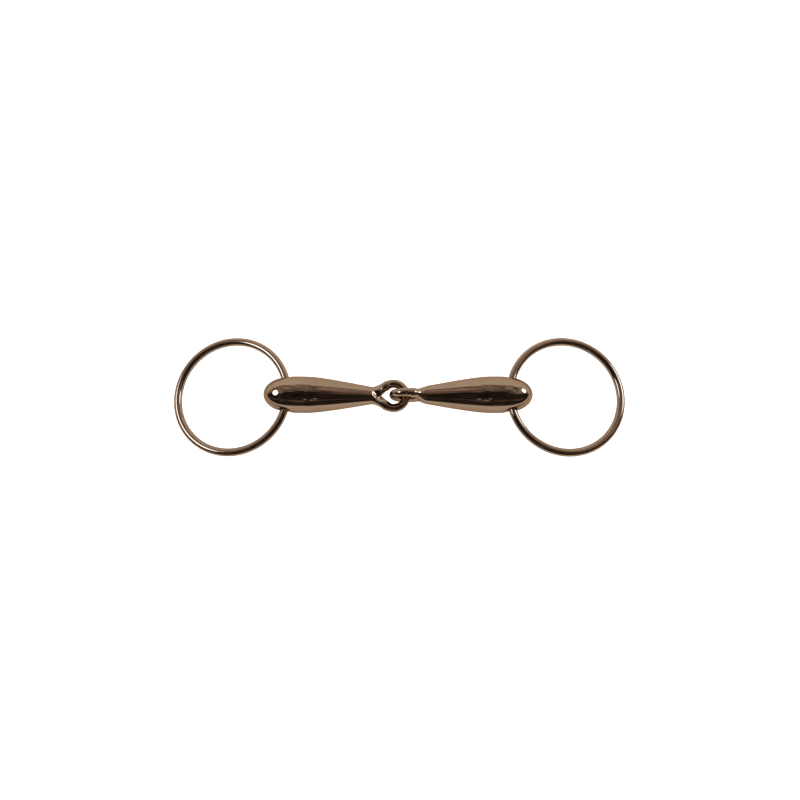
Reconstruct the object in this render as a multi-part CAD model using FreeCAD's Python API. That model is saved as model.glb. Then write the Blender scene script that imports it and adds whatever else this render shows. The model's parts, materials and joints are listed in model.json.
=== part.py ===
import FreeCAD, Part
import math
import os
from FreeCAD import Placement, Rotation, Vector

# Single-jointed loose-ring snaffle bit with a hollow mouth, lying flat on a surface.
# Millimetres. X runs along the mouthpiece from left to right, Y points away from the viewer
# and Z up. The origin is the bottom centre of the whole bit, on the surface it lies on.

# Driving dimensions

RING_OUTER_D = 70.0
RING_BAR_D = 4.6

MOUTH_D = 21.0              # thickest part of a cannon
SHELL_LENGTH = 60.5         # hollow part of a cannon, from its bulb end to its narrow end
BULB_LENGTH = 23.0          # from the bulb end to the thickest part
TAPER_SLOPE = 0.188         # radius lost per unit of length, towards the narrow end
TAPER_SOFTNESS = 11.25      # length over which the taper sets in
SHELL_WALL = 1.3
LAND_LENGTH = 3.5           # of the narrow end that grips the eye's shank
SHANK_R = 3.9
SHANK_LENGTH = 9.5

HOLE_FROM_END = 12.3        # axis of the ring hole, from the bulb end
HOLE_RIM_R = 0.6            # rounding of the hole's mouth
TUBE_BORE_R = 3.6
TUBE_WALL = 0.8
TUBE_LENGTH = 16.6
TUBE_RIM_R = 0.4
TUBE_RUNNING_GAP = 0.05

LOOP_BAR_R = 2.4            # bar of the eye's loop
LOOP_R = 7.2                # centre line of the loop
ARM_ANGLE = 36.0            # half angle between the two arms that join loop and neck
ARM_END_R = 3.5
ARM_LENGTH = 8.3
# Sections of the neck: distance from the loop's centre, then how wide and how thick it is
# there, as shares of the shell's narrow end.
NECK_WAIST = (10.6, 1.02, 0.87)
NECK_TOP = (8.4, 1.0, 0.68)

# The left eye's neck is a little longer, as the loops are forged and linked by hand.
LOOP_CENTRE_FROM_END = {"left": 74.15, "right": 72.05}

# How far towards the joint the ring's bar lies from the hole's axis, midway through the hole.
RING_SEAT = {"left": 1.1, "right": 0.4}

LINK_GAP = 0.25             # between the left loop's tip and the right loop it lies in

# Derived dimensions

RING_R = (RING_OUTER_D - RING_BAR_D) / 2
RING_BAR_R = RING_BAR_D / 2
MOUTH_R = MOUTH_D / 2
TUBE_OUTER_R = TUBE_BORE_R + TUBE_WALL
HOLE_R = TUBE_OUTER_R + TUBE_RUNNING_GAP
LOOP_OUTER_R = LOOP_R + LOOP_BAR_R
LOOP_INNER_R = LOOP_R - LOOP_BAR_R

X_AXIS = Vector(1, 0, 0)
Y_AXIS = Vector(0, 1, 0)
Z_AXIS = Vector(0, 0, 1)
SIDES = ("left", "right")
OUTLINE_STEPS = 16
NUDGE = 1e-4                # step of a slope's finite difference
NEAR = 0.05                 # how close an edge's middle lies to where it should be
STEEPEST = 20.0             # degrees, more than a cannon ever slopes as it lies


# A cannon's own frame: the axis is X, from the bulb end at x = 0 towards the eye, and the ring
# hole runs along Y.

def mouth_radius(x):
    """Radius of a cannon at x: a blunt bulb up to its thickest part, then a taper."""
    if x <= BULB_LENGTH:
        return MOUTH_R * math.sqrt(1 - (1 - x / BULB_LENGTH) ** 3)
    lost = TAPER_SLOPE * (math.hypot(x - BULB_LENGTH, TAPER_SOFTNESS) - TAPER_SOFTNESS)
    return MOUTH_R - lost


def mouth_outline(s):
    """Point (x, radius) of a cannon's outline: s is 0 to 1 on the bulb, 1 to 2 on the taper."""
    if s <= 1:
        x = BULB_LENGTH * (1 - math.cos(math.radians(90 * s)) ** (2 / 3))
    else:
        x = BULB_LENGTH + (s - 1) * (SHELL_LENGTH - BULB_LENGTH)
    return Vector(x, mouth_radius(x), 0)


def outline_points(inset, last):
    """Points of the outline, moved inwards by inset along its normals, up to parameter last."""
    points = []
    for i in range(OUTLINE_STEPS + 1):
        s = last * i / OUTLINE_STEPS
        tangent = mouth_outline(min(s + NUDGE, 2)) - mouth_outline(max(s - NUDGE, 0))
        inwards = Vector(tangent.y, -tangent.x, 0).normalize()
        points.append(mouth_outline(s) + inwards * inset)
    points[0].y = 0
    return points


def smooth_curve(points):
    """Smooth curve through points that starts square to the axis."""
    free_points = len(points) - 1
    curve = Part.BSplineCurve()
    curve.interpolate(
        Points=points,
        Tangents=[Y_AXIS] * len(points),
        TangentFlags=[True] + [False] * free_points,
    )
    return curve.toShape()


def shell_section():
    """Half of a cannon's lengthwise section in XY: outside, narrow end, land, inside."""
    land_start = SHELL_LENGTH - LAND_LENGTH
    last = 1 + (land_start - BULB_LENGTH) / (SHELL_LENGTH - BULB_LENGTH)
    outside = outline_points(0, 2)
    inside = outline_points(SHELL_WALL, last)
    corners = [
        outside[-1],
        Vector(SHELL_LENGTH, SHANK_R, 0),
        Vector(inside[-1].x, SHANK_R, 0),
        inside[-1],
    ]
    edges = [smooth_curve(outside), smooth_curve(inside), Part.makeLine(inside[0], outside[0])]
    edges += [Part.makeLine(a, b) for a, b in zip(corners, corners[1:])]
    return Part.Face(Part.Wire(Part.__sortEdges__(edges)))


def hole_rim(shell):
    """The edges of the shell where the ring hole meets the outer surface."""
    edges = []
    for edge in shell.Edges:
        middle = edge.valueAt((edge.FirstParameter + edge.LastParameter) / 2)
        from_hole = math.hypot(middle.x - HOLE_FROM_END, middle.z)
        from_outside = math.hypot(middle.y, middle.z) - mouth_radius(middle.x)
        if abs(from_hole - HOLE_R) < NEAR and abs(from_outside) < NEAR:
            edges.append(edge)
    return edges


def half_shell(facing):
    """One pressed half of a cannon: facing is -1 for the half at -Y and 1 for the half at +Y."""
    section = shell_section()
    section.rotate(Vector(), X_AXIS, 90)
    shell = section.revolve(Vector(), X_AXIS, -facing * 180)
    hole = Part.makeCylinder(
        HOLE_R, MOUTH_D, Vector(HOLE_FROM_END, 0, 0), Y_AXIS * facing
    )
    shell = shell.cut(hole)
    return shell.makeFillet(HOLE_RIM_R, hole_rim(shell))


def ring_tube():
    """Liner of the ring hole, centred on it, with rounded inner edges at both ends."""
    start = Vector(HOLE_FROM_END, -TUBE_LENGTH / 2, 0)
    outside = Part.makeCylinder(TUBE_OUTER_R, TUBE_LENGTH, start, Y_AXIS)
    tube = outside.cut(Part.makeCylinder(TUBE_BORE_R, TUBE_LENGTH, start, Y_AXIS))
    rims = [e for e in tube.Edges if e.Closed and abs(e.Curve.Radius - TUBE_BORE_R) < NEAR]
    return tube.makeFillet(TUBE_RIM_R, rims)


# An eye's own frame: the loop's centre is the origin, the loop lies in XY and its tip is at +X.

def ellipse_wire(x, in_plane, across):
    """Ellipse square to X, with its radius in the loop's plane and its radius across it."""
    ellipse = Part.Circle(Vector(), X_AXIS, 1).toShape()
    matrix = FreeCAD.Matrix()
    matrix.scale(1, in_plane, across)
    wire = Part.Wire(ellipse.transformGeometry(matrix))
    wire.translate(Vector(x, 0, 0))
    return wire


def eye_loop():
    """Part of a torus, open on the neck side over the angle that the two arms take up."""
    opening = 90 - ARM_ANGLE
    arc = Part.makeTorus(LOOP_R, LOOP_BAR_R, Vector(), Z_AXIS, -180, 180, 360 - 2 * opening)
    arc.rotate(Vector(), Z_AXIS, 180 + opening)
    return arc


def eye_arm(way):
    """Flaring arm from the loop to the neck: way is 1 or -1, the side of the loop."""
    angle = math.radians(ARM_ANGLE)
    start = Vector(-LOOP_R * math.sin(angle), way * LOOP_R * math.cos(angle), 0)
    direction = Vector(-math.cos(angle), -way * math.sin(angle), 0)
    return Part.makeCone(LOOP_BAR_R, ARM_END_R, ARM_LENGTH, start, direction)


def eye_neck(length):
    """Neck that flattens from the shell's round end towards the arms, with its shank behind."""
    end_r = mouth_outline(2).y
    sections = [(length, 1.0, 1.0), NECK_WAIST, NECK_TOP]
    wires = [ellipse_wire(-d, wide * end_r, thick * end_r) for d, wide, thick in sections]
    neck = Part.makeLoft(wires, True, False)
    shank = Part.makeCylinder(
        SHANK_R, SHANK_LENGTH, Vector(-length - SHANK_LENGTH, 0, 0), X_AXIS
    )
    return neck.fuse(shank)


def centre_eye(side):
    """A forged eye in its cannon's frame. The right loop stands across the left one."""
    centre = LOOP_CENTRE_FROM_END[side]
    length = centre - SHELL_LENGTH
    corner = Vector(-length - ARM_LENGTH, -MOUTH_D / 2, -MOUTH_D / 2)
    inside_shell = Part.makeBox(ARM_LENGTH, MOUTH_D, MOUTH_D, corner)
    arms = eye_arm(1).fuse(eye_arm(-1)).cut(inside_shell)
    eye = eye_loop().fuse([arms, eye_neck(length)])
    eye = eye.removeSplitter()
    if side == "right":
        eye.rotate(Vector(), X_AXIS, 90)
    eye.translate(Vector(centre, 0, 0))
    return eye


# How the bit lies: both bulbs, the right loop and the far side of each ring touch the surface,
# and the tip of the left loop lies in the right loop.

def end_height(slope):
    """Height of the axis at the bulb end when the bulb rests on the surface."""
    samples = [mouth_outline(i / 200) for i in range(401)]
    return max(p.y * math.cos(slope) + p.x * math.sin(slope) for p in samples)


def resting_slope(reach, height):
    """Downward slope that puts the axis at this height, at this reach from the bulb end."""
    low, high = 0.0, math.radians(STEEPEST)
    for _ in range(60):
        slope = (low + high) / 2
        if end_height(slope) - reach * math.sin(slope) > height:
            low = slope
        else:
            high = slope
    return slope


def lie_of(side):
    """Slopes, reach and heights of one side: its cannon and its ring."""
    if side == "left":
        reach = LOOP_CENTRE_FROM_END[side] + LOOP_R
        slope = resting_slope(reach, PIVOT_Z)
    else:
        reach = LOOP_CENTRE_FROM_END[side]
        slope = resting_slope(reach, LOOP_OUTER_R)
    start_z = end_height(slope)
    hole_z = start_z - HOLE_FROM_END * math.sin(slope)
    seat = RING_R - RING_SEAT[side]
    droop = math.asin((hole_z - RING_BAR_R) / (seat + RING_R))
    hole_from_pivot = (reach - HOLE_FROM_END) * math.cos(slope)
    return {
        "slope": slope,
        "start_z": start_z,
        "start_from_pivot": reach * math.cos(slope),
        "hole_z": hole_z,
        "hole_from_pivot": hole_from_pivot,
        "ring_droop": droop,
        "ring_from_pivot": hole_from_pivot + seat * math.cos(droop),
        "ring_z": hole_z - seat * math.sin(droop),
        "reach": hole_from_pivot + (seat + RING_R) * math.cos(droop) + RING_BAR_R,
    }


PIVOT_Z = LOOP_OUTER_R - (LOOP_INNER_R - LOOP_BAR_R - LINK_GAP)
LIE = {side: lie_of(side) for side in SIDES}
PIVOT_X = (LIE["left"]["reach"] - LIE["right"]["reach"]) / 2


def outwards(side):
    """Sign of X that points from the joint to this side."""
    return -1 if side == "left" else 1


def cannon_placement(side):
    """From a cannon's own frame to where it lies."""
    lie = LIE[side]
    base = Vector(PIVOT_X + outwards(side) * lie["start_from_pivot"], 0, lie["start_z"])
    turn = Rotation(Z_AXIS, 0 if side == "left" else 180)
    tilt = Rotation(Y_AXIS, math.degrees(-outwards(side) * lie["slope"]))
    return Placement(base, tilt * turn)


def loose_ring(side):
    """A ring where it lies, with its far side on the surface."""
    lie = LIE[side]
    ring = Part.makeTorus(RING_R, RING_BAR_R)
    ring.rotate(Vector(), Y_AXIS, math.degrees(outwards(side) * lie["ring_droop"]))
    ring.translate(
        Vector(PIVOT_X + outwards(side) * lie["ring_from_pivot"], 0, lie["ring_z"])
    )
    return ring


def cannon_pieces(side):
    """The pieces of one cannon, by node name, where they lie."""
    front = outwards(side)
    pieces = {
        f"{side}_shell_front": half_shell(front),
        f"{side}_shell_back": half_shell(-front),
        f"{side}_ring_tube": ring_tube(),
        f"{side}_centre_eye": centre_eye(side),
    }
    placement = cannon_placement(side)
    return {name: moved(shape, placement) for name, shape in pieces.items()}


def moved(shape, placement):
    """The shape at a placement."""
    copy = shape.copy()
    copy.Placement = placement.multiply(copy.Placement)
    return copy


def main():
    os.makedirs("parts", exist_ok=True)
    pieces = {}
    for side in SIDES:
        pieces.update(cannon_pieces(side))
        pieces[f"{side}_ring"] = loose_ring(side)
    for name, shape in pieces.items():
        solid = shape.Solids[0]
        print(f"{name}: {len(shape.Solids)} solid, {solid.Volume:.0f} mm3, valid {shape.isValid()}")
        solid.exportStep(f"parts/{name}.step")


main()
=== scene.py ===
import json
import math

import bmesh
import bpy
import numpy as np
from mathutils import Matrix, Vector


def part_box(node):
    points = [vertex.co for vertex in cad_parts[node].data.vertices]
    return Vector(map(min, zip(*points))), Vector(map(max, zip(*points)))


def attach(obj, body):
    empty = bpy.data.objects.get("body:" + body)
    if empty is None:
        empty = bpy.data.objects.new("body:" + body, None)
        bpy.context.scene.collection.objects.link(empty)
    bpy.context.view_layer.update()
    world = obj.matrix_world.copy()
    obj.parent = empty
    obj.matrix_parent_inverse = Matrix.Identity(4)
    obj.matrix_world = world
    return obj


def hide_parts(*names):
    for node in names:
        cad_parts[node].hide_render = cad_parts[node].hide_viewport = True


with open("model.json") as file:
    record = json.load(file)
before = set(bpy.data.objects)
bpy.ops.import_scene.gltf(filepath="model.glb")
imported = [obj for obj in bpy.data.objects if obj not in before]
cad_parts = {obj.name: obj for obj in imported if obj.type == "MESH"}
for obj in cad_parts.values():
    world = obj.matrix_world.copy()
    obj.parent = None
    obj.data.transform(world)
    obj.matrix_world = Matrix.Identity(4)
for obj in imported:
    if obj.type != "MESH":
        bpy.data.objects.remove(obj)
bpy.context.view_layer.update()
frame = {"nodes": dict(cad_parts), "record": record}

# Sizes are in millimetres and become metres only where a mesh is made. Lamps, camera and floor
# are in metres.
MM = 0.001
TINY = 1e-9
SIDES = ("left", "right")
FRONT_WAY = {"left": -1, "right": 1}    # sign of a cannon's own Y that points to the front

# Cannon: its thickest radius, the lengths of its bulb and shell, and its taper
MOUTH_R = 10.5
BULB_LENGTH = 23.0
SHELL_LENGTH = 60.5
TAPER_SLOPE = 0.188
TAPER_SOFTNESS = 11.25
WALL = 1.3
SHANK_R = 3.9
SHANK_LENGTH = 9.5

# Ring hole: its mouth in the outer surface, and its throat, where it meets the liner tube
HOLE_FROM_END = 12.3
HOLE_MOUTH_R = 5.3
HOLE_THROAT_R = 3.62
HOLE_THROAT_Y = 8.36
HOLE_INSIDE_R = 4.45

# Half shell's grid, in quads along the cannon and round it, and the patch that holds the hole
CAP_STEPS = 25
PATCH_STEPS = 32
TAPER_STEPS = 65
HALF_TURN_STEPS = 96
PATCH_MARGIN = 24
PATCH_REACH = 8.0
HOLE_RINGS = 14
FUNNEL_STEPS = 12
MOUTH_PULL = 1.1                        # how long the funnel keeps its direction at either end
THROAT_PULL = 0.8
ON_SURFACE = 0.002                      # how near a point is to count as on the outside
AT_POLE = 1e-4
SHARP_ANGLE = math.radians(35)

# Eye: centre line and bar of its loop, its arms, its neck, and the fillet between them
LOOP_R = 7.2
LOOP_BAR_R = 2.4
ARM_ANGLE = math.radians(36)
ARM_END_R = 3.4
ARM_LENGTH = 8.3
NECK_START = 7.6                        # from the loop's centre
NECK_LEAN = 0.95                        # the neck's slope at the shell, as a share of the taper's
NECK_WIDER = 0.15                       # what its half width gains by the loop
NECK_THINNER = 0.36                     # the share of its thickness that it loses by the loop
FILLET = 1.3
SKIN_VOXEL = 0.28

# Dressed face in the crotch of an eye: a round hammer ran down and across to the loop
HAMMER_R = 5.0
HAMMER_SLOPE = math.radians(29)
HAMMER_TURN = math.radians(-37)
HAMMER_START = -12.0
HAMMER_STOP = 2.0
HAMMER_SOFTNESS = 0.3
HAMMER_WAY = np.array([
    math.cos(HAMMER_SLOPE) * math.cos(HAMMER_TURN),
    math.cos(HAMMER_SLOPE) * math.sin(HAMMER_TURN),
    -math.sin(HAMMER_SLOPE),
])
HAMMER_TOUCH = np.array([-10.5, -0.45, 3.7])        # a point of the face, and from there to the
HAMMER_BACK = np.array([0.584, 0.026, 0.811])       # hammer's axis
HAMMER_POINT = HAMMER_TOUCH + HAMMER_R * HAMMER_BACK

# Ring: steps of its mesh, where its butt weld is, and how far the weld and its dressing show
RING_STEPS = 384
RING_BAR_STEPS = 48
WELD_TURN = {"left": math.radians(125), "right": math.radians(-72)}
WELD_RISE = 0.022
WELD_SPREAD = 0.9
DRESSED_DIP = 0.012
DRESSED_SPREAD = 3.2

METAL_TINT = (0.30, 0.205, 0.135)
TUBE_TINT = (0.22, 0.16, 0.11)
EDGE_TINT = (0.62, 0.52, 0.44, 1)

# Light of the room: degrees from the zenith (minus is in front) and brightness
ROOM = [
    (-180, 0.9), (-92, 0.9), (-86, 0.05), (-62, 0.04), (-52, 0.15), (-44, 0.04),
    (4, 0.035), (14, 0.36), (36, 0.44), (43, 0.36), (47, 0.50), (50, 1.08), (180, 1.08),
]
SIDE_WALLS = 0.42                       # brightness, and the spans over which they come and go
WALLS_COME = (0.20, 0.50)
WALLS_GO = (0.88, 0.70)
WALLS_BEHIND = (-0.22, 0.04)
IS_WALL = (0.5, 0.9)                    # brightness from which a part of the room is a white wall
ROOM_TINT = (1.0, 0.84, 0.80, 1)
WHITE = (1, 1, 1, 1)
CLUTTER_STRETCH = (3.2, 24.0)           # along the bit, and round from zenith to floor
CLUTTER_SWAY = 0.10
CLUTTER_SPAN = (0.36, 0.66)             # noise from its darkest to its brightest part
CLUTTER_DARKEST = 0.35
CLUTTER_RISE = 1.6
LAMP_COLOUR = (0.56, 0.74, 1.0)
FLOOR_GLOW = (0.32, 0.95)               # on its own, and where the camera looks at it directly
FLOOR_HALF = 3.0

CAMERA_AZIMUTH = math.radians(2.64)
CAMERA_ELEVATION = math.radians(76.6)
CAMERA_DISTANCE = 0.4663
CAMERA_TARGET = np.array([0.0007, -0.0006, 0.0])

# A Mix node has sockets for every kind of data. These are its colour inputs and its output.
MIX_COLOUR_A = 6
MIX_COLOUR_B = 7
MIX_COLOUR_RESULT = 2


# Where things are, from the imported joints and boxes

def joint_named(name):
    """The record's entry for a joint."""
    return next(j for j in frame["record"]["behaviour"]["joints"] if j["name"] == name)


def joint_point(name):
    """Where a joint is."""
    return np.array(joint_named(name)["pos_m"]) / MM


def box_of(node):
    """Low and high corner of a CAD node."""
    return [np.array(corner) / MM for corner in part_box(node)]


def cannon_frame(side):
    """Origin at the bulb end and axes as rows: X runs along the cannon to its eye. The right
    eye stands upright, so its cannon points at the middle of its height."""
    hole = joint_point(f"{side}_ring_swing")
    target = joint_point("mouth_fold")
    if side == "right":
        low, high = box_of("right_centre_eye")
        target[2] = (high[2] - low[2]) / 2 + low[2]
    along = (target - hole) / np.linalg.norm(target - hole)
    across = np.array([0.0, 1.0 if side == "left" else -1.0, 0.0])
    return hole - HOLE_FROM_END * along, np.array([along, across, np.cross(along, across)])


def loop_centre(side):
    """Distance of the eye's loop centre from the bulb end."""
    origin, axes = cannon_frame(side)
    reach = np.linalg.norm(joint_point("mouth_fold") - origin)
    if side == "left":
        return reach - LOOP_R
    low, _ = box_of("right_centre_eye")
    return (origin[0] - low[0]) / abs(axes[0][0]) - LOOP_R - LOOP_BAR_R


# Meshes

def new_object(name, points, faces, normals=None, place=None):
    """Mesh object from millimetre points. normals gives a smooth normal per point, or zeros
    where the faces' own normals hold. place is (origin, axes) of the points' own frame."""
    points = np.asarray(points, float)
    if place is not None:
        origin, axes = place
        points = points @ axes + origin
        normals = None if normals is None else normals @ axes
    mesh = bpy.data.meshes.new(name)
    mesh.from_pydata((points * MM).tolist(), [], faces)
    mesh.validate()
    mesh.update()
    mesh.shade_smooth()
    if normals is not None:
        set_normals(mesh, normals)
    piece = bpy.data.objects.new(name, mesh)
    bpy.context.scene.collection.objects.link(piece)
    return piece


def mesh_points(mesh):
    """A mesh's points as an array."""
    flat = np.zeros(len(mesh.vertices) * 3)
    mesh.vertices.foreach_get("co", flat)
    return flat.reshape(-1, 3)


def set_normals(mesh, normals):
    """Gives each face corner its point's normal, where there is one that fits the face."""
    corner_point = np.zeros(len(mesh.loops), int)
    mesh.loops.foreach_get("vertex_index", corner_point)
    face_normals = np.zeros(len(mesh.polygons) * 3)
    mesh.polygons.foreach_get("normal", face_normals)
    totals = np.zeros(len(mesh.polygons), int)
    mesh.polygons.foreach_get("loop_total", totals)
    flat = np.repeat(face_normals.reshape(-1, 3), totals, axis=0)
    smooth = normals[corner_point]
    fits = (smooth * flat).sum(1) > math.cos(SHARP_ANGLE)
    mesh.normals_split_custom_set(np.where(fits[:, None], smooth, flat).tolist())


def hoop_faces(hoops, steps):
    """Quads of a round tube whose points are stored hoop by hoop."""
    faces = []
    for i in range(hoops - 1):
        for j in range(steps):
            k = (j + 1) % steps
            a, b = i * steps + j, i * steps + k
            faces.append((a, b, b + steps, a + steps))
    return faces


# Rings

def bar_radius(side):
    """Radius of a ring's bar, from the dimensions of the mount on it."""
    mounts = frame["record"]["mounts"]
    return next(m for m in mounts if m["name"] == f"{side}_ring_bar")["dims"]["r_mm"]


def welded_bar(side, turns, ring_r):
    """Radius of a ring's bar at each turn: a slight swelling at the butt weld, in a dressed dip."""
    offset = np.angle(np.exp(1j * (turns - WELD_TURN[side]))) * ring_r
    rise = WELD_RISE * np.exp(-((offset / WELD_SPREAD) ** 2))
    dip = DRESSED_DIP * np.exp(-((offset / DRESSED_SPREAD) ** 2))
    return bar_radius(side) * (1 + rise - dip)


def loose_ring(side):
    """Round bar bent to a ring and welded."""
    spin = joint_named(f"{side}_ring_spin")
    centre = np.array(spin["pos_m"]) / MM
    normal = np.array(spin["axis"])
    across = np.array([0.0, 1.0, 0.0])
    along = np.cross(across, normal)
    low, high = box_of(f"{side}_ring")
    outer_r = (high[1] - low[1]) / 2
    ring_r = outer_r - bar_radius(side)
    turns = np.arange(RING_STEPS) * 2 * math.pi / RING_STEPS
    rolls = np.arange(RING_BAR_STEPS) * 2 * math.pi / RING_BAR_STEPS
    turn, roll = np.meshgrid(turns, rolls, indexing="ij")
    bar = welded_bar(side, turns, ring_r)[:, None]
    radius = ring_r + bar * np.cos(roll)
    points = np.stack(
        [radius * np.cos(turn), radius * np.sin(turn), bar * np.sin(roll)], -1
    ).reshape(-1, 3)
    faces = hoop_faces(RING_STEPS, RING_BAR_STEPS)
    last = (RING_STEPS - 1) * RING_BAR_STEPS
    for j in range(RING_BAR_STEPS):
        k = (j + 1) % RING_BAR_STEPS
        faces.append((last + j, last + k, k, j))
    faces = [face[::-1] for face in faces]
    place = (centre, np.array([along, across, normal]))
    return new_object(f"{side}_ring_bar", points, faces, place=place)


# Cannons

def mouth_radius(x):
    """Radius of a cannon at x, for an array of x."""
    x = np.asarray(x, float)
    bulb = MOUTH_R * np.sqrt(np.clip(1 - np.clip(1 - x / BULB_LENGTH, 0, 1) ** 3, 0, None))
    beyond = np.clip(x - BULB_LENGTH, 0, None)
    return bulb - TAPER_SLOPE * (np.hypot(beyond, TAPER_SOFTNESS) - TAPER_SOFTNESS)


def mouth_slope(x):
    """Slope of the radius at x."""
    x = np.asarray(x, float)
    left = np.clip(1 - x / BULB_LENGTH, 0, 1)
    bulb = 1.5 * MOUTH_R / BULB_LENGTH * left**2 / np.sqrt(np.clip(1 - left**3, TINY, None))
    beyond = np.clip(x - BULB_LENGTH, 0, None)
    return bulb - TAPER_SLOPE * beyond / np.hypot(beyond, TAPER_SOFTNESS)


def shell_surface(x, roll, facing):
    """Points and outward normals of a cannon's outside at (x, roll): roll 0 faces the hole."""
    radius = mouth_radius(x)
    slope = mouth_slope(x)
    radial = np.stack([np.zeros_like(roll), facing * np.cos(roll), np.sin(roll)], -1)
    points = radial * radius[..., None]
    points[..., 0] = x
    normals = radial.copy()
    normals[..., 0] = -slope
    return points, normals / np.linalg.norm(normals, axis=-1, keepdims=True)


class ShellGrid:
    """Points of a half shell's outside, as (x, roll), and the faces between them."""

    def __init__(self):
        self.places = []
        self.faces = []

    def add(self, x, roll):
        """Adds a point and returns its index."""
        self.places.append((x, roll))
        return len(self.places) - 1


def shell_rows():
    """Stations along a cannon: closer together on the bulb's end, then even round the hole."""
    start, end = HOLE_FROM_END - PATCH_REACH, HOLE_FROM_END + PATCH_REACH
    first_turn = math.asin(math.sqrt(1 - (1 - start / BULB_LENGTH) ** 3))
    turns = np.linspace(0, first_turn, CAP_STEPS + 1)[1:]
    cap = BULB_LENGTH * (1 - np.cos(turns) ** (2 / 3))
    patch = np.linspace(start, end, PATCH_STEPS + 1)[1:]
    taper = np.linspace(end, SHELL_LENGTH, TAPER_STEPS + 1)[1:]
    return list(cap), list(patch), list(taper)


def half_shell_grid():
    """A half shell's grid with its hole, and the indices of its border and of the hole's edge."""
    before, patch, after = shell_rows()
    rows = before + patch + after
    columns = HALF_TURN_STEPS + 1
    rolls = np.linspace(-math.pi / 2, math.pi / 2, columns)
    inside_rows = (len(before) - 1, len(before) + len(patch) - 1)
    inside_columns = (PATCH_MARGIN, HALF_TURN_STEPS - PATCH_MARGIN)
    grid = ShellGrid()
    index = {}
    for i, x in enumerate(rows):
        for j, roll in enumerate(rolls):
            deep = inside_rows[0] < i < inside_rows[1] and inside_columns[0] < j < inside_columns[1]
            if not deep:
                index[i, j] = grid.add(x, roll)
    for i in range(len(rows) - 1):
        for j in range(columns - 1):
            cut = inside_rows[0] <= i < inside_rows[1] and inside_columns[0] <= j < inside_columns[1]
            if not cut:
                corners = ((i, j), (i, j + 1), (i + 1, j + 1), (i + 1, j))
                grid.faces.append(tuple(index[corner] for corner in corners))
    pole = grid.add(0.0, 0.0)
    grid.faces += [(pole, index[0, j + 1], index[0, j]) for j in range(columns - 1)]
    hole = round_hole(grid, patch_border(index, inside_rows, inside_columns))
    seam = [index[i, 0] for i in reversed(range(len(rows)))] + [pole]
    seam += [index[i, columns - 1] for i in range(len(rows))]
    narrow = [index[len(rows) - 1, j] for j in reversed(range(1, columns - 1))]
    return grid, seam + narrow, hole


def patch_border(index, rows, columns):
    """The grid points round the square that the hole is set into, in order."""
    (top, bottom), (left, right) = rows, columns
    border = [index[top, j] for j in range(left, right)]
    border += [index[i, right] for i in range(top, bottom)]
    border += [index[bottom, j] for j in range(right, left, -1)]
    border += [index[i, left] for i in range(bottom, top, -1)]
    return border


def round_hole(grid, outer):
    """Rings of points from the square to the hole's mouth. Returns the mouth's points."""
    places = np.array([grid.places[i] for i in outer])
    radius = mouth_radius(places[:, 0])
    angle = np.arctan2(radius * np.sin(places[:, 1]), places[:, 0] - HOLE_FROM_END)
    mouth_x = HOLE_FROM_END + HOLE_MOUTH_R * np.cos(angle)
    mouth_roll = np.arcsin(HOLE_MOUTH_R * np.sin(angle) / mouth_radius(mouth_x))
    previous = list(outer)
    count = len(outer)
    for ring in range(1, HOLE_RINGS + 1):
        share = ring / HOLE_RINGS
        x = places[:, 0] * (1 - share) + mouth_x * share
        roll = places[:, 1] * (1 - share) + mouth_roll * share
        current = [grid.add(a, b) for a, b in zip(x, roll)]
        for k in range(count):
            n = (k + 1) % count
            grid.faces.append((previous[k], previous[n], current[n], current[k]))
        previous = current
    return previous


def hole_funnel(mouth, normals, facing):
    """Rings of points that turn in from the hole's mouth to its throat, and then outwards under
    the wall to the tube's outside."""
    centre = np.array([HOLE_FROM_END, 0, 0])
    flat = mouth - centre
    flat[:, 1] = 0
    outwards = flat / np.linalg.norm(flat, axis=1, keepdims=True)
    into = normals * (outwards * normals).sum(1, keepdims=True) - outwards
    into /= np.linalg.norm(into, axis=1, keepdims=True)
    throat = centre + outwards * HOLE_THROAT_R
    throat[:, 1] = facing * HOLE_THROAT_Y
    down = np.array([0, -facing, 0.0])
    reach = np.linalg.norm(throat - mouth, axis=1, keepdims=True)
    rings = []
    for i in range(1, FUNNEL_STEPS + 1):
        t = i / FUNNEL_STEPS
        from_mouth, along_into = 2 * t**3 - 3 * t**2 + 1, t**3 - 2 * t**2 + t
        to_throat, along_down = 3 * t**2 - 2 * t**3, t**3 - t**2
        ring = from_mouth * mouth + along_into * reach * MOUTH_PULL * into
        rings.append(ring + to_throat * throat + along_down * reach * THROAT_PULL * down)
    under = centre + outwards * HOLE_INSIDE_R
    under[:, 1] = facing * HOLE_THROAT_Y
    rings.append(under)
    return rings


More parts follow.
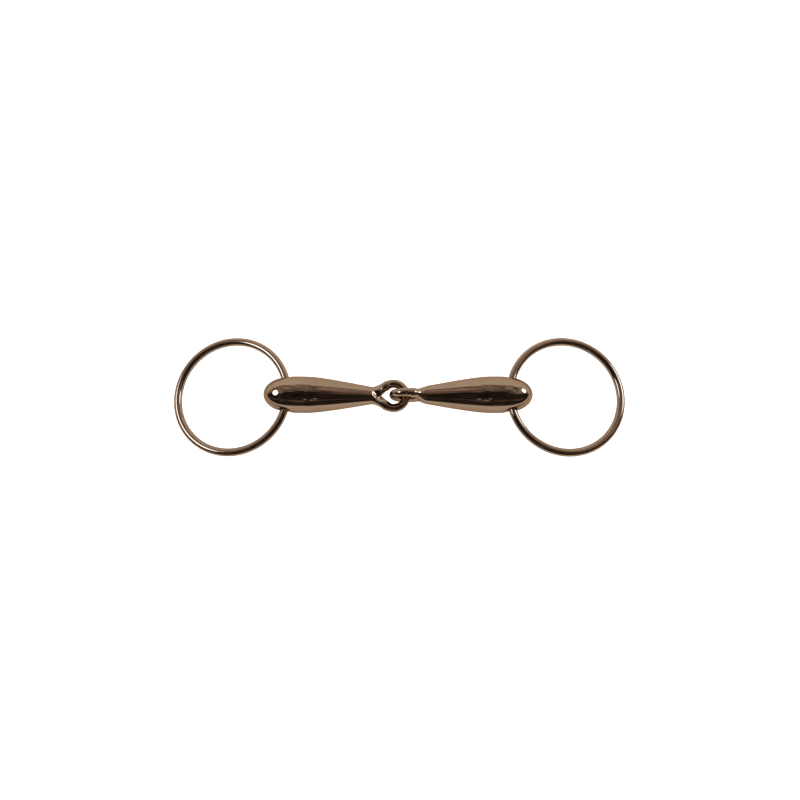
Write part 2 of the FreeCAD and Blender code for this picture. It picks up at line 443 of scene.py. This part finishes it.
def half_shell(side, place_name):
    """One closed half shell: outside, inside, seam and the funnel of the ring hole."""
    facing = FRONT_WAY[side] if place_name == "front" else -FRONT_WAY[side]
    grid, border, hole = half_shell_grid()
    places = np.array(grid.places)
    outside, normals = shell_surface(places[:, 0], places[:, 1], facing)
    pole = int(np.argmin(places[:, 0]))
    normals[pole] = (-1, 0, 0)
    inside = outside - normals * WALL
    inside[:, 1] = np.where(outside[:, 1] * facing < TINY, 0, inside[:, 1])
    inside[hole] = throat_inside(inside[hole], facing)
    count = len(outside)
    faces = [tuple(reversed(face)) for face in grid.faces]
    faces += [tuple(count + i for i in face) for face in grid.faces]
    for k, a in enumerate(border):
        b = border[(k + 1) % len(border)]
        faces.append((a, b, b + count, a + count))
    points = [outside, inside]
    previous = hole
    first = 2 * count
    for ring in hole_funnel(outside[hole], normals[hole], facing):
        current = list(range(first, first + len(hole)))
        points.append(ring)
        faces += bridge(previous, current)
        previous = current
        first += len(hole)
    faces += bridge(previous, [i + count for i in hole])
    if facing < 0:
        faces = [tuple(reversed(face)) for face in faces]
    name = f"{side}_half_shell_{place_name}"
    piece = new_object(name, np.vstack(points), faces, place=cannon_frame(side))
    mend(piece)
    shade_shell(piece, side)
    return piece


def throat_inside(points, facing):
    """The inside edge of the hole, moved onto the tube's outside."""
    moved = points.copy()
    flat = points[:, [0, 2]] - np.array([HOLE_FROM_END, 0])
    flat *= HOLE_INSIDE_R / np.linalg.norm(flat, axis=1, keepdims=True)
    moved[:, 0] = HOLE_FROM_END + flat[:, 0]
    moved[:, 2] = flat[:, 1]
    radius = mouth_radius(moved[:, 0]) - WALL
    moved[:, 1] = facing * np.sqrt(radius**2 - moved[:, 2] ** 2)
    return moved


def bridge(outer, inner):
    """Quads between two rings of points, wound like the outside of the grid."""
    count = len(outer)
    faces = []
    for k in range(count):
        n = (k + 1) % count
        faces.append((outer[n], outer[k], inner[k], inner[n]))
    return faces


def mend(piece):
    """Makes the faces of a closed mesh all point outwards."""
    mesh = bmesh.new()
    mesh.from_mesh(piece.data)
    bmesh.ops.recalc_face_normals(mesh, faces=mesh.faces)
    mesh.to_mesh(piece.data)
    mesh.free()


def shade_shell(piece, side):
    """Exact normals on the outside of a cannon, so that its reflections run smoothly."""
    mesh = piece.data
    origin, axes = cannon_frame(side)
    points = (mesh_points(mesh) / MM - origin) @ axes.T
    radial = np.hypot(points[:, 1], points[:, 2])
    x = np.clip(points[:, 0], 0, SHELL_LENGTH)
    on_outside = np.abs(radial - mouth_radius(x)) < ON_SURFACE
    normals = np.zeros_like(points)
    safe = np.maximum(radial, TINY)
    normals[:, 0] = -mouth_slope(x)
    normals[:, 1] = points[:, 1] / safe
    normals[:, 2] = points[:, 2] / safe
    normals[radial < AT_POLE] = (-1, 0, 0)
    normals /= np.linalg.norm(normals, axis=1, keepdims=True)
    stored = np.zeros(len(mesh.vertices) * 3)
    mesh.vertex_normals.foreach_get("vector", stored)
    exact = normals @ axes
    set_normals(mesh, np.where(on_outside[:, None], exact, stored.reshape(-1, 3)))


# Eyes. An eye's own frame: the loop's centre is the origin, the loop lies in XY, its tip at +X.

def smooth_least(a, b, softness=FILLET):
    """The smaller of two distances, with a fillet where they are nearly equal."""
    share = np.clip(0.5 + 0.5 * (b - a) / softness, 0, 1)
    return b * (1 - share) + a * share - softness * share * (1 - share)


def loop_distance(p):
    """Distance from the open loop's bar."""
    angle = np.arctan2(p[:, 1], p[:, 0])
    limit = math.pi / 2 + ARM_ANGLE
    angle = np.clip(angle, -limit, limit)
    nearest = np.stack([LOOP_R * np.cos(angle), LOOP_R * np.sin(angle), 0 * angle], -1)
    return np.linalg.norm(p - nearest, axis=1) - LOOP_BAR_R


def arm_distance(p):
    """Distance from the nearer of the two flaring arms."""
    mirrored = p.copy()
    mirrored[:, 1] = np.abs(p[:, 1])
    start = LOOP_R * np.array([-math.sin(ARM_ANGLE), math.cos(ARM_ANGLE), 0])
    way = np.array([-math.cos(ARM_ANGLE), -math.sin(ARM_ANGLE), 0])
    along = np.clip((mirrored - start) @ way, 0, ARM_LENGTH)
    bar_r = LOOP_BAR_R + (ARM_END_R - LOOP_BAR_R) * along / ARM_LENGTH
    return np.linalg.norm(mirrored - start - along[:, None] * way, axis=1) - bar_r


def neck_radii(depth, length):
    """Half width and half thickness of the neck at a depth below the loop's centre."""
    end_r = float(mouth_radius(SHELL_LENGTH))
    share = np.clip((length - depth) / (length - NECK_START), -1, 1)
    run = length - NECK_START
    lean = TAPER_SLOPE * run * NECK_LEAN
    wide = end_r - lean * share + (lean + NECK_WIDER) * share**2
    thick = end_r - lean * share - (NECK_THINNER * end_r - lean) * share**2
    return wide, thick


def neck_distance(p, length):
    """Rough distance from the neck, an oval bar that ends just below the hole."""
    wide, thick = neck_radii(-p[:, 0], length)
    level = np.hypot(p[:, 1] / wide, p[:, 2] / thick)
    side = (level - 1) * np.minimum(wide, thick)
    cap = p[:, 0] + NECK_START
    return np.maximum(side, cap)


def hammered_face(p):
    """Distance from the round hammer that dressed the crotch down to the loop, on one side."""
    along = np.clip((p - HAMMER_POINT) @ HAMMER_WAY, HAMMER_START, HAMMER_STOP)
    return np.linalg.norm(p - HAMMER_POINT - along[:, None] * HAMMER_WAY, axis=1) - HAMMER_R


def eye_distance(p, length):
    """Distance from the whole eye."""
    bars = smooth_least(loop_distance(p), arm_distance(p))
    whole = smooth_least(bars, neck_distance(p, length))
    return -smooth_least(-whole, hammered_face(p), HAMMER_SOFTNESS)


def eye_gradient(p, length):
    """How eye_distance changes along each axis."""
    step = 0.01
    slopes = []
    for axis in range(3):
        nudge = np.zeros(3)
        nudge[axis] = step
        change = eye_distance(p + nudge, length) - eye_distance(p - nudge, length)
        slopes.append(change / (2 * step))
    return np.stack(slopes, -1)


def tube_along(points, radii):
    """Closed round tube through points in the plane XY, as (points, faces)."""
    steps = 24
    points = np.asarray(points, float)
    ways = np.gradient(points, axis=0)
    ways /= np.linalg.norm(ways, axis=1, keepdims=True)
    rolls = np.arange(steps) * 2 * math.pi / steps
    rings = []
    for centre, way, radius in zip(points, ways, radii):
        side = np.array([-way[1], way[0], 0])
        ring = centre + radius * (
            np.cos(rolls)[:, None] * side + np.sin(rolls)[:, None] * np.array([0, 0, 1.0])
        )
        rings.append(ring)
    faces = hoop_faces(len(points), steps)
    faces.append(tuple(range(steps)))
    last = (len(points) - 1) * steps
    faces.append(tuple(reversed(range(last, last + steps))))
    return np.vstack(rings), faces


def rough_eye(length):
    """Overlapping closed tubes, as (points, faces), that the eye's skin is grown from. The skin
    is then pulled onto the eye, so they only have to be near it."""
    loop_steps, arm_steps, neck_steps = 60, 14, 12
    arm_span, arm_radii = (-0.8, ARM_LENGTH + 2), (LOOP_BAR_R, ARM_END_R + 0.2)
    neck_span, neck_ends = (NECK_START + 0.6, length + 3), (4.2, 5.2)
    limit = math.pi / 2 + ARM_ANGLE
    angles = np.linspace(-limit, limit, loop_steps)
    loop = np.stack([LOOP_R * np.cos(angles), LOOP_R * np.sin(angles), 0 * angles], -1)
    tubes = [tube_along(loop, [LOOP_BAR_R] * len(loop))]
    for way in (1, -1):
        start = LOOP_R * np.array([-math.sin(ARM_ANGLE), way * math.cos(ARM_ANGLE), 0])
        run = np.array([-math.cos(ARM_ANGLE), -way * math.sin(ARM_ANGLE), 0])
        arm = [start + run * distance for distance in np.linspace(*arm_span, arm_steps)]
        tubes.append(tube_along(arm, np.linspace(*arm_radii, arm_steps)))
    neck = [np.array([-depth, 0, 0]) for depth in np.linspace(*neck_span, neck_steps)]
    tubes.append(tube_along(neck, np.linspace(*neck_ends, neck_steps)))
    return tubes


def grown_skin(tubes):
    """One even skin round overlapping tubes, as a mesh that is still in millimetres."""
    points, faces, first = [], [], 0
    for tube_points, tube_faces in tubes:
        points.append(tube_points)
        faces += [tuple(first + i for i in face) for face in tube_faces]
        first += len(tube_points)
    mesh = bpy.data.meshes.new("rough")
    mesh.from_pydata(np.vstack(points).tolist(), [], faces)
    rough = bpy.data.objects.new("rough", mesh)
    bpy.context.scene.collection.objects.link(rough)
    mend(rough)
    remesh = rough.modifiers.new("skin", "REMESH")
    remesh.mode = "VOXEL"
    remesh.voxel_size = SKIN_VOXEL
    bpy.context.view_layer.update()
    skin = bpy.data.meshes.new_from_object(
        rough.evaluated_get(bpy.context.evaluated_depsgraph_get())
    )
    bpy.data.objects.remove(rough)
    return skin


def pulled_onto_eye(points, length):
    """Moves points onto the eye's true surface by a few Newton steps of limited length."""
    steps, least_slope, longest = 6, 0.05, 0.6
    for _ in range(steps):
        slope = eye_gradient(points, length)
        size = np.maximum((slope**2).sum(1), least_slope)
        move = (eye_distance(points, length) / size)[:, None] * slope
        far = np.linalg.norm(move, axis=1, keepdims=True)
        points = points - move * np.minimum(1, longest / np.maximum(far, TINY))
    return points


def place_points(mesh, points):
    """Moves a mesh's points to new places, in order."""
    for vertex, point in zip(mesh.verts, points):
        vertex.co = point


def centre_eye(side):
    """The forged eye: loop, arms and neck in one skin, cut square at the shell, with its shank."""
    rounds = 3
    centre = loop_centre(side)
    length = centre - SHELL_LENGTH
    skin = grown_skin(rough_eye(length))
    mesh = bmesh.new()
    mesh.from_mesh(skin)
    points = np.array([v.co for v in mesh.verts])
    for _ in range(rounds):
        points = pulled_onto_eye(points, length)
        place_points(mesh, points)
        bmesh.ops.smooth_vert(
            mesh, verts=mesh.verts, factor=0.5, use_axis_x=True, use_axis_y=True, use_axis_z=True
        )
        points = np.array([v.co for v in mesh.verts])
    place_points(mesh, pulled_onto_eye(points, length))
    cut_at_shell(mesh, length)
    add_shank(mesh, length)
    skin.clear_geometry()
    mesh.to_mesh(skin)
    mesh.free()
    return finished_eye(side, skin, length, eye_place(side, centre))


def cut_at_shell(mesh, length):
    """Removes the skin past the shell's narrow end."""
    bmesh.ops.bisect_plane(
        mesh,
        geom=mesh.verts[:] + mesh.edges[:] + mesh.faces[:],
        plane_co=(-length, 0, 0),
        plane_no=(-1, 0, 0),
        clear_outer=True,
    )


def add_shank(mesh, length):
    """A shoulder and a round shank that plug the eye into its shell."""
    rim = [e for e in mesh.edges if e.is_boundary]
    shoulder = bmesh.ops.extrude_edge_only(mesh, edges=rim)["geom"]
    for vertex in [g for g in shoulder if isinstance(g, bmesh.types.BMVert)]:
        radial = math.hypot(vertex.co.y, vertex.co.z)
        vertex.co.y *= SHANK_R / radial
        vertex.co.z *= SHANK_R / radial
    rim = [g for g in shoulder if isinstance(g, bmesh.types.BMEdge)]
    shank = bmesh.ops.extrude_edge_only(mesh, edges=rim)["geom"]
    for vertex in [g for g in shank if isinstance(g, bmesh.types.BMVert)]:
        vertex.co.x = -length - SHANK_LENGTH
    rim = [g for g in shank if isinstance(g, bmesh.types.BMEdge)]
    bmesh.ops.contextual_create(mesh, geom=rim)
    bmesh.ops.recalc_face_normals(mesh, faces=mesh.faces)


def eye_place(side, centre):
    """Origin and axes of an eye's own frame: the right loop stands across the left one."""
    origin, axes = cannon_frame(side)
    eye_axes = axes if side == "left" else np.array([axes[0], axes[2], -axes[1]])
    return origin + centre * axes[0], eye_axes


def finished_eye(side, skin, length, place):
    """The eye as an object in its place, with exact normals on everything but its shank."""
    points = mesh_points(skin)
    faces = [tuple(face.vertices) for face in skin.polygons]
    normals = eye_gradient(points, length)
    normals /= np.maximum(np.linalg.norm(normals, axis=1, keepdims=True), TINY)
    normals[points[:, 0] < -length - ON_SURFACE] = 0
    bpy.data.meshes.remove(skin)
    return new_object(f"{side}_forged_eye", points, faces, normals, place)


# Materials

def socket(node, name, value):
    """Sets an input of a node."""
    node.inputs[name].default_value = value


def noise_at(nodes, links, place, scale, detail):
    """Noise texture's output at a place."""
    noise = nodes.new("ShaderNodeTexNoise")
    socket(noise, "Scale", scale)
    socket(noise, "Detail", detail)
    links.new(place, noise.inputs["Vector"])
    return noise.outputs["Fac"]


def polished_metal(name, tint, roughness, haze, scratch_scale):
    """Mirror-polished metal with a faint haze, buffing lines and colour drift."""
    material = bpy.data.materials.new(name)
    material.use_nodes = True
    nodes, links = material.node_tree.nodes, material.node_tree.links
    shader = nodes["Principled BSDF"]
    socket(shader, "Metallic", 1.0)
    socket(shader, "Specular Tint", EDGE_TINT)
    place = nodes.new("ShaderNodeTexCoord").outputs["Object"]

    drift = noise_at(nodes, links, place, scale=90.0, detail=3.0)
    colour = nodes.new("ShaderNodeValToRGB")
    colour.color_ramp.elements[0].position = 0.3
    colour.color_ramp.elements[0].color = (*[c * 0.93 for c in tint], 1)
    colour.color_ramp.elements[1].position = 0.7
    colour.color_ramp.elements[1].color = (*[min(c * 1.05, 1) for c in tint], 1)
    links.new(drift, colour.inputs["Fac"])
    links.new(colour.outputs["Color"], shader.inputs["Base Color"])

    smear = noise_at(nodes, links, place, scale=260.0, detail=5.0)
    spread = nodes.new("ShaderNodeMapRange")
    socket(spread, "From Min", 0.35)
    socket(spread, "From Max", 0.75)
    socket(spread, "To Min", roughness)
    socket(spread, "To Max", roughness + haze)
    links.new(smear, spread.inputs["Value"])
    links.new(spread.outputs["Result"], shader.inputs["Roughness"])

    stretch = nodes.new("ShaderNodeMapping")
    socket(stretch, "Scale", scratch_scale)
    links.new(place, stretch.inputs["Vector"])
    lines = noise_at(nodes, links, stretch.outputs["Vector"], scale=1.0, detail=2.0)
    bump = nodes.new("ShaderNodeBump")
    socket(bump, "Strength", 0.05)
    socket(bump, "Distance", 0.00004)
    links.new(lines, bump.inputs["Height"])
    links.new(bump.outputs["Normal"], shader.inputs["Normal"])
    return material


def floor_material():
    """Plain pale floor with a little glow of its own, as paper lit from all round."""
    material = bpy.data.materials.new("pale_floor")
    material.use_nodes = True
    nodes, links = material.node_tree.nodes, material.node_tree.links
    shader = nodes["Principled BSDF"]
    socket(shader, "Roughness", 1.0)
    socket(shader, "Specular IOR Level", 0.0)
    socket(shader, "Emission Color", WHITE)
    seen = nodes.new("ShaderNodeLightPath")
    glow = nodes.new("ShaderNodeMix")
    links.new(seen.outputs["Is Camera Ray"], glow.inputs["Factor"])
    socket(glow, "A", FLOOR_GLOW[0])
    socket(glow, "B", FLOOR_GLOW[1])
    links.new(glow.outputs["Result"], shader.inputs["Emission Strength"])
    grain = nodes.new("ShaderNodeTexNoise")
    socket(grain, "Scale", 40.0)
    tone = nodes.new("ShaderNodeValToRGB")
    tone.color_ramp.elements[0].color = (0.80, 0.80, 0.80, 1)
    tone.color_ramp.elements[1].color = (0.86, 0.86, 0.86, 1)
    links.new(grain.outputs["Fac"], tone.inputs["Fac"])
    links.new(tone.outputs["Color"], shader.inputs["Base Color"])
    return material


# Studio

def floor():
    """Square floor that the bit lies on, as scenery."""
    half = FLOOR_HALF
    points = [(-half, -half, 0), (half, -half, 0), (half, half, 0), (-half, half, 0)]
    piece = new_object("floor", np.array(points) / MM, [(0, 1, 2, 3)])
    piece.data.materials.append(floor_material())


def aim(thing, target):
    """Points a light's -Z at a target that is not straight below it."""
    way = np.array(target) - np.array(thing.location)
    way /= np.linalg.norm(way)
    side = np.cross(way, (0, 0, 1))
    side /= np.linalg.norm(side)
    up = np.cross(side, way)
    thing.rotation_euler = Matrix(np.array([side, up, -way]).T.tolist()).to_euler()


def soft_box(name, place, size, radiance, seen=True):
    """Oval area light. One that is seen shows only as a reflection in the metal, and one that
    is not only lights the floor."""
    lamp = bpy.data.lights.new(name, "AREA")
    lamp.shape = "ELLIPSE"
    lamp.size, lamp.size_y = size
    lamp.energy = radiance * math.pi * size[0] * size[1]
    lamp.color = LAMP_COLOUR if seen else WHITE[:3]
    piece = bpy.data.objects.new(name, lamp)
    bpy.context.scene.collection.objects.link(piece)
    piece.location = place
    aim(piece, (0, 0, 0.01))
    piece.visible_glossy = seen
    piece.visible_diffuse = not seen
    piece.visible_camera = False


def ramp_node(nodes, stops):
    """Colour ramp of grey levels from (degrees from the zenith, level) stops. Minus is in front."""
    ramp = nodes.new("ShaderNodeValToRGB")
    elements = ramp.color_ramp.elements
    while len(elements) < len(stops):
        elements.new(0.5)
    for element, (degrees, level) in zip(elements, stops):
        element.position = 0.5 + degrees / 360
        element.color = (level, level, level, 1)
    return ramp


def arithmetic(nodes, links, operation, first, second):
    """Maths node on two values, which are outputs or numbers."""
    node = nodes.new("ShaderNodeMath")
    node.operation = operation
    for i, value in enumerate((first, second)):
        if isinstance(value, (int, float)):
            node.inputs[i].default_value = value
        else:
            links.new(value, node.inputs[i])
    return node.outputs[0]


def smooth_range(nodes, links, value, span, top=1.0):
    """0 where value is at the span's first end, rising smoothly to top at its second end."""
    node = nodes.new("ShaderNodeMapRange")
    node.interpolation_type = "SMOOTHSTEP"
    socket(node, "From Min", span[0])
    socket(node, "From Max", span[1])
    socket(node, "To Max", top)
    links.new(value, node.inputs["Value"])
    return node.outputs["Result"]


def room_clutter(nodes, links, across, share):
    """Noise that is drawn out across the room, for what hangs and stands in it."""
    place = nodes.new("ShaderNodeCombineXYZ")
    for axis, value, stretch in zip("XY", (across, share), CLUTTER_STRETCH):
        links.new(arithmetic(nodes, links, "MULTIPLY", value, stretch), place.inputs[axis])
    clutter = nodes.new("ShaderNodeTexNoise")
    socket(clutter, "Scale", 1.6)
    socket(clutter, "Detail", 4.0)
    socket(clutter, "Roughness", 0.62)
    links.new(place.outputs["Vector"], clutter.inputs["Vector"])
    return clutter.outputs["Fac"]


def room_ramp(nodes, links, share, clutter):
    """Brightness of the room by its lean from the zenith, with edges that waver."""
    off = arithmetic(nodes, links, "SUBTRACT", clutter, 0.5)
    waver = arithmetic(nodes, links, "MULTIPLY", off, CLUTTER_SWAY)
    place = arithmetic(nodes, links, "ADD", arithmetic(nodes, links, "ADD", share, 0.5), waver)
    room = ramp_node(nodes, ROOM)
    links.new(place, room.inputs["Fac"])
    return room.outputs["Color"]


def side_walls(nodes, links, across, behind):
    """Brightness of the walls to the left and right, which fade out towards the front."""
    beside = arithmetic(nodes, links, "ABSOLUTE", across, 0.0)
    near = smooth_range(nodes, links, beside, WALLS_GO)
    rising = smooth_range(nodes, links, beside, WALLS_COME, SIDE_WALLS)
    walls = arithmetic(nodes, links, "MULTIPLY", rising, near)
    not_in_front = smooth_range(nodes, links, behind, WALLS_BEHIND)
    return arithmetic(nodes, links, "MULTIPLY", walls, not_in_front)


def mixed_value(nodes, links, factor, first, second):
    """Value between first and second, which are outputs, or a number for second."""
    mix = nodes.new("ShaderNodeMix")
    links.new(factor, mix.inputs["Factor"])
    links.new(first, mix.inputs["A"])
    if isinstance(second, float):
        socket(mix, "B", second)
    else:
        links.new(second, mix.inputs["B"])
    return mix.outputs["Result"]


def room_colour(nodes, links, factor):
    """The room's warm tint, and plain white where factor is 1."""
    mix = nodes.new("ShaderNodeMix")
    mix.data_type = "RGBA"
    links.new(factor, mix.inputs["Factor"])
    mix.inputs[MIX_COLOUR_A].default_value = ROOM_TINT
    mix.inputs[MIX_COLOUR_B].default_value = WHITE
    return mix.outputs[MIX_COLOUR_RESULT]


def studio_world():
    """A bright wall low down behind the bit, and a dim ceiling over it and in front of it. The
    camera sees plain white."""
    world = bpy.data.worlds.new("studio")
    world.use_nodes = True
    bpy.context.scene.world = world
    nodes, links = world.node_tree.nodes, world.node_tree.links
    nodes.clear()
    way = nodes.new("ShaderNodeTexCoord").outputs["Generated"]
    parts = nodes.new("ShaderNodeSeparateXYZ")
    links.new(way, parts.inputs["Vector"])
    across, behind, upwards = (parts.outputs[axis] for axis in "XYZ")
    lean = arithmetic(nodes, links, "ARCTAN2", behind, upwards)
    share = arithmetic(nodes, links, "DIVIDE", lean, 2 * math.pi)

    clutter = room_clutter(nodes, links, across, share)
    ramp = room_ramp(nodes, links, share, clutter)
    level = arithmetic(nodes, links, "MAXIMUM", ramp, side_walls(nodes, links, across, behind))
    uneven = smooth_range(nodes, links, clutter, CLUTTER_SPAN, CLUTTER_RISE)
    uneven = arithmetic(nodes, links, "ADD", uneven, CLUTTER_DARKEST)
    overhead = arithmetic(nodes, links, "MULTIPLY", level, uneven)
    is_wall = smooth_range(nodes, links, level, IS_WALL)
    level = mixed_value(nodes, links, is_wall, overhead, level)

    seen = nodes.new("ShaderNodeLightPath").outputs["Is Camera Ray"]
    background = nodes.new("ShaderNodeBackground")
    links.new(mixed_value(nodes, links, seen, level, 1.0), background.inputs["Strength"])
    plain = arithmetic(nodes, links, "MAXIMUM", is_wall, seen)
    links.new(room_colour(nodes, links, plain), background.inputs["Color"])
    output = nodes.new("ShaderNodeOutputWorld")
    links.new(background.outputs["Background"], output.inputs["Surface"])


def camera():
    """Nearly overhead camera, rolled so that the mouthpiece runs level across the picture."""
    back = np.array([
        math.sin(CAMERA_AZIMUTH) * math.cos(CAMERA_ELEVATION),
        -math.cos(CAMERA_AZIMUTH) * math.cos(CAMERA_ELEVATION),
        math.sin(CAMERA_ELEVATION),
    ])
    right = np.array([1.0, 0, 0]) - back[0] * back
    right /= np.linalg.norm(right)
    up = np.cross(back, right)
    lens = bpy.data.cameras.new("camera")
    lens.sensor_width = 36.0
    lens.lens = 36.0
    lens.clip_start = 0.01
    viewer = bpy.data.objects.new("camera", lens)
    bpy.context.scene.collection.objects.link(viewer)
    viewer.location = CAMERA_TARGET + CAMERA_DISTANCE * back
    viewer.rotation_euler = Matrix(np.array([right, up, back]).T.tolist()).to_euler()
    bpy.context.scene.camera = viewer


def studio():
    """Floor, room and lamps. Each lamp has a place, a size and a radiance."""
    floor()
    studio_world()
    soft_box("left_box", (-0.49, 0.01, 0.46), (0.34, 0.22), 7.0)
    soft_box("right_box", (0.58, 0.17, 0.31), (0.27, 0.22), 7.5)
    soft_box("ceiling_lamp_1", (-0.05, -0.42, 0.47), (0.035, 0.020), 2.2)
    soft_box("ceiling_lamp_2", (0.02, -0.46, 0.42), (0.060, 0.016), 1.6)
    soft_box("ceiling_lamp_3", (0.06, -0.40, 0.50), (0.030, 0.030), 1.8)
    soft_box("fill", (0.0, -0.2, 1.6), (2.4, 2.4), 1.4, seen=False)
    bpy.context.scene.view_settings.view_transform = "Standard"


def build():
    """The ten visible pieces: eight new ones, and the liner tubes as the CAD has them. Each metal
    has a tint, a roughness, a haze and a scratch scale."""
    mouth = polished_metal("polished_mouth", METAL_TINT, 0.035, 0.05, (900, 9000, 9000))
    ring = polished_metal("polished_ring", METAL_TINT, 0.06, 0.07, (3000, 3000, 9000))
    tube = polished_metal("drawn_tube", TUBE_TINT, 0.25, 0.15, (9000, 900, 9000))
    for side in SIDES:
        cannon = f"{side}_cannon"
        for place_name in ("front", "back"):
            shell = half_shell(side, place_name)
            finish_piece(shell, mouth, cannon, f"{side}_shell_{place_name}")
        eye = centre_eye(side)
        finish_piece(eye, mouth, cannon, f"{side}_centre_eye")
        finish_piece(loose_ring(side), ring, f"{side}_loose_ring", f"{side}_ring")
        liner = frame["nodes"][f"{side}_ring_tube"]
        for slot in liner.material_slots:
            slot.material = tube


def finish_piece(piece, material, body, node):
    """Gives a piece its material and its body, and hides the CAD node that it stands for."""
    piece.data.materials.append(material)
    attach(piece, body)
    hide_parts(node)


camera()
studio()
build()
